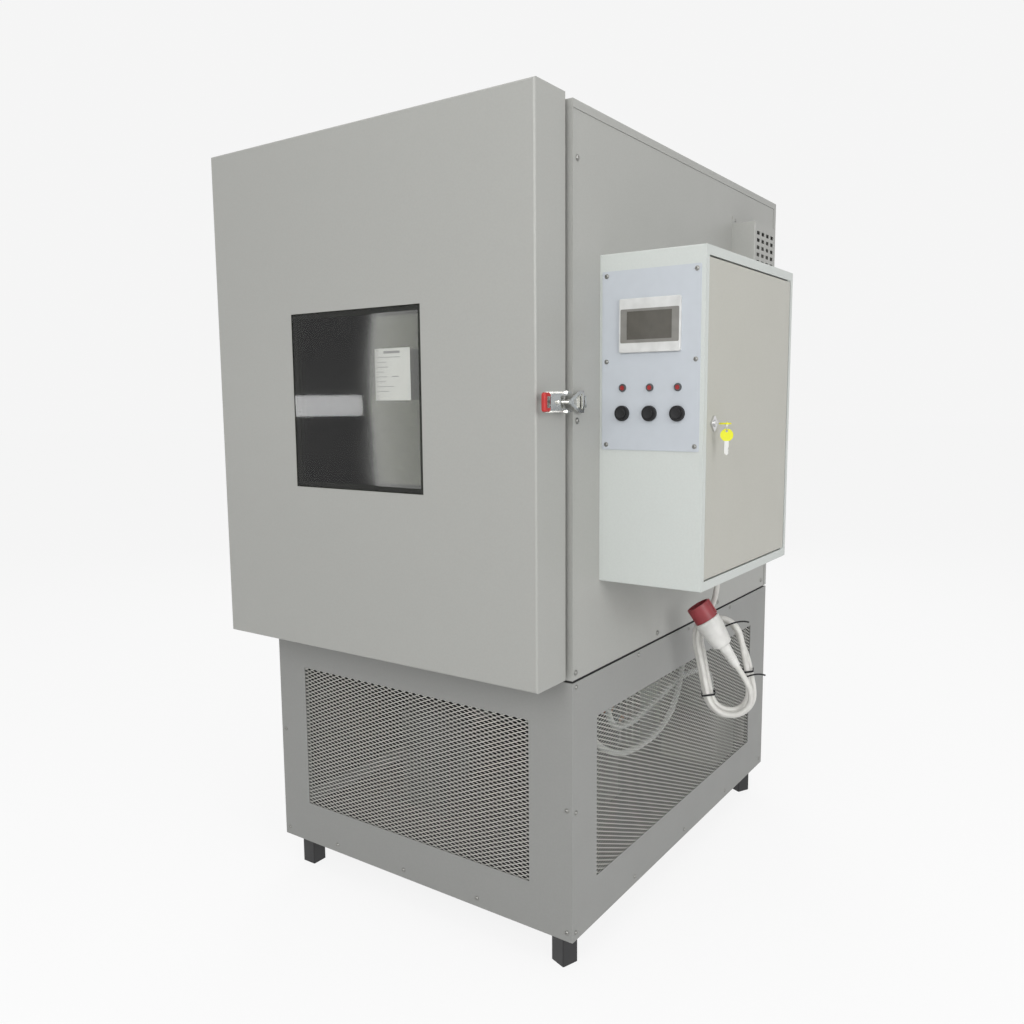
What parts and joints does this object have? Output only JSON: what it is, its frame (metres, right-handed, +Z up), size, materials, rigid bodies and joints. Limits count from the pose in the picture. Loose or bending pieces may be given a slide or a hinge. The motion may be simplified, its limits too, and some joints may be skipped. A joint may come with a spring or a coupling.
{
  "type": "environmental test chamber",
  "caption": "Floor-standing climatic test chamber: insulated windowed door with draw latch, side control cabinet, vented machine base, stowed supply cord.",
  "frame": {"origin": "centre of the footprint at floor level, without the stowed cord", "axes": "+X to the right seen from the front, the door faces -Y, +Z up"},
  "size_m": [1.1596, 1.249, 1.7479],
  "materials": {
    "body_grey": "fine textured paint",
    "base_grey": "fine textured paint",
    "zinc": "satin",
    "frame_black": "satin",
    "foot_black": "matte",
    "stainless": "brushed",
    "wool": "fibrous mat",
    "aluminium": "satin",
    "copper": "satin",
    "black_plastic": "matte",
    "white_plastic": "semi-gloss",
    "hose_clear": "translucent",
    "glass": "polished",
    "lamp_glass": "polished",
    "gasket": "matte",
    "latch_zinc": "zinc plated",
    "red_grip": "semi-gloss",
    "cabinet_grey": "fine textured paint",
    "plate_grey": "smooth",
    "chrome": "polished",
    "key_yellow": "semi-gloss",
    "screen": "glossy",
    "lamp_red": "glossy",
    "button_green": "glossy",
    "button_red": "glossy",
    "button_black": "glossy",
    "cord_white": "semi-matte",
    "plug_red": "semi-matte"
  },
  "bodies": {
    "chassis": {"base_frame": "frame_black", "feet": "foot_black", "skirt_panels": "base_grey", "base_grilles": "zinc", "deck": "frame_black", "compressor": "frame_black", "condenser": "aluminium", "refrigerant_lines": "copper", "drain_tank": "white_plastic", "drain_hoses": "hose_clear", "side_panels": "body_grey", "top_lid": "body_grey", "rear_panels": "body_grey", "front_frame": "body_grey", "insulation": "wool", "liner": "stainless", "shelves": "stainless", "air_baffle": "stainless", "evaporator": "aluminium", "heater": "stainless", "fan_motor": "frame_black", "chamber_lamp": "lamp_glass", "vent_cover": "cabinet_grey", "body_hinges": "latch_zinc", "latch_keeper": "latch_zinc", "cabinet_shell": "cabinet_grey", "panel_plate": "plate_grey", "touch_panel": "black_plastic", "touch_screen": "screen", "indicators": "lamp_red", "button_collars": "chrome", "mounting_plate": "zinc", "switchgear": "black_plastic", "cable_gland": "black_plastic", "cord_coil": "cord_white", "plug_collar": "plug_red", "plug_body": "white_plastic", "supply_cord": "cord_white", "cable_ties": "white_plastic"},
    "door": {"door_skin": "body_grey", "door_liner": "stainless", "door_insulation": "wool", "window_frame": "aluminium", "window_panes": "glass", "door_gasket": "gasket", "door_hinges": "latch_zinc", "latch_base": "latch_zinc"},
    "latch_lever": {"latch_lever": "latch_zinc", "latch_grip": "red_grip"},
    "latch_bail": {"latch_bail": "latch_zinc"},
    "cabinet_door": {"cabinet_door": "cabinet_grey", "lock_housing": "black_plastic"},
    "lock": {"lock_cylinder": "chrome", "key": "key_yellow"},
    "spare_key": {"spare_key": "key_yellow"},
    "circulation_fan": {"circulation_fan": "aluminium"},
    "condenser_fan": {"condenser_fan": "aluminium"},
    "button_1": {"button_1": "button_green"},
    "button_2": {"button_2": "button_red"},
    "button_3": {"button_3": "button_black"}
  },
  "joints": [
    {"name": "door_hinge", "type": "hinge", "parent": "chassis", "child": "door", "pos_m": [-0.56345, -0.4945, 1.195], "axis": [0, 0, -1], "range_deg": [0, 110]},
    {"name": "latch_lever_pivot", "type": "hinge", "parent": "door", "child": "latch_lever", "pos_m": [0.33035, -0.5475, 1.1865], "axis": [0, 0, 1], "range_deg": [0, 100]},
    {"name": "latch_bail_pivot", "type": "hinge", "parent": "latch_lever", "child": "latch_bail", "pos_m": [0.32385, -0.5645, 1.1865], "axis": [0, 0, -1], "range_deg": [0, 110]},
    {"name": "cabinet_door_hinge", "type": "hinge", "parent": "chassis", "child": "cabinet_door", "pos_m": [0.53035, 0.0815, 1.147], "axis": [0, 0, 1], "range_deg": [0, 110]},
    {"name": "lock_turn", "type": "hinge", "parent": "cabinet_door", "child": "lock", "pos_m": [0.51795, -0.3485, 1.1435], "axis": [1, 0, 0], "range_deg": [0, 90]},
    {"name": "spare_key_swing", "type": "hinge", "parent": "lock", "child": "spare_key", "pos_m": [0.56824, -0.35596, 1.1309], "axis": [0.3616, -0.9323, 0], "range_deg": [-25, 25]},
    {"name": "circulation_fan_spin", "type": "hinge", "parent": "chassis", "child": "circulation_fan", "pos_m": [-0.11465, 0.2155, 1.341], "axis": [0, 1, 0], "continuous": true},
    {"name": "condenser_fan_spin", "type": "hinge", "parent": "chassis", "child": "condenser_fan", "pos_m": [-0.19215, 0.4975, 0.327], "axis": [0, 1, 0], "continuous": true},
    {"name": "button_1_press", "type": "slide", "parent": "chassis", "child": "button_1", "axis": [0, 1, 0], "range_m": [0, 0.003], "stiffness_N_per_m": 400},
    {"name": "button_2_press", "type": "slide", "parent": "chassis", "child": "button_2", "axis": [0, 1, 0], "range_m": [0, 0.003], "stiffness_N_per_m": 400},
    {"name": "button_3_press", "type": "slide", "parent": "chassis", "child": "button_3", "axis": [0, 1, 0], "range_m": [0, 0.003], "stiffness_N_per_m": 400}
  ],
  "couplings": [
    {"joint": "latch_bail_pivot", "follows": "latch_lever_pivot", "ratio": 1.1}
  ]
}
